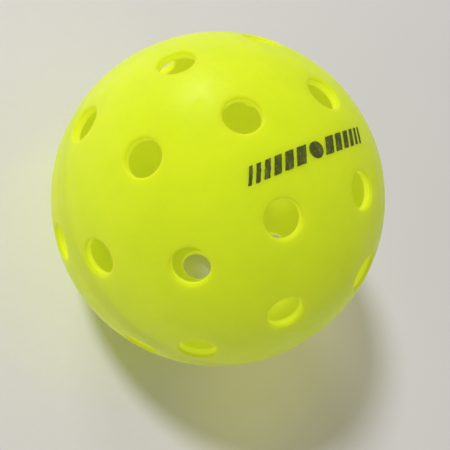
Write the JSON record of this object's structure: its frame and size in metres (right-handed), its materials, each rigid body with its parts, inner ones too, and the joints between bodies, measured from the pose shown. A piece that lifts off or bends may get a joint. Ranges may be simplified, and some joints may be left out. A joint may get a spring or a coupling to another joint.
{
  "type": "pickleball ball",
  "caption": "Hollow perforated hard-plastic ball for pickleball, welded from two moulded halves, with a printed mark.",
  "frame": {"origin": "centre of the ball", "axes": "+Z out through the pole that carries the printed mark, square to the weld, and +X along the mark"},
  "size_m": [0.074, 0.074, 0.074],
  "materials": {
    "shell_plastic": "satin",
    "weld_plastic": "satin",
    "mark_ink": "satin"
  },
  "bodies": {
    "root": {"shell_half_upper": "shell_plastic", "shell_half_lower": "shell_plastic", "weld_seam": "weld_plastic", "printed_mark": "mark_ink"}
  },
  "joints": []
}
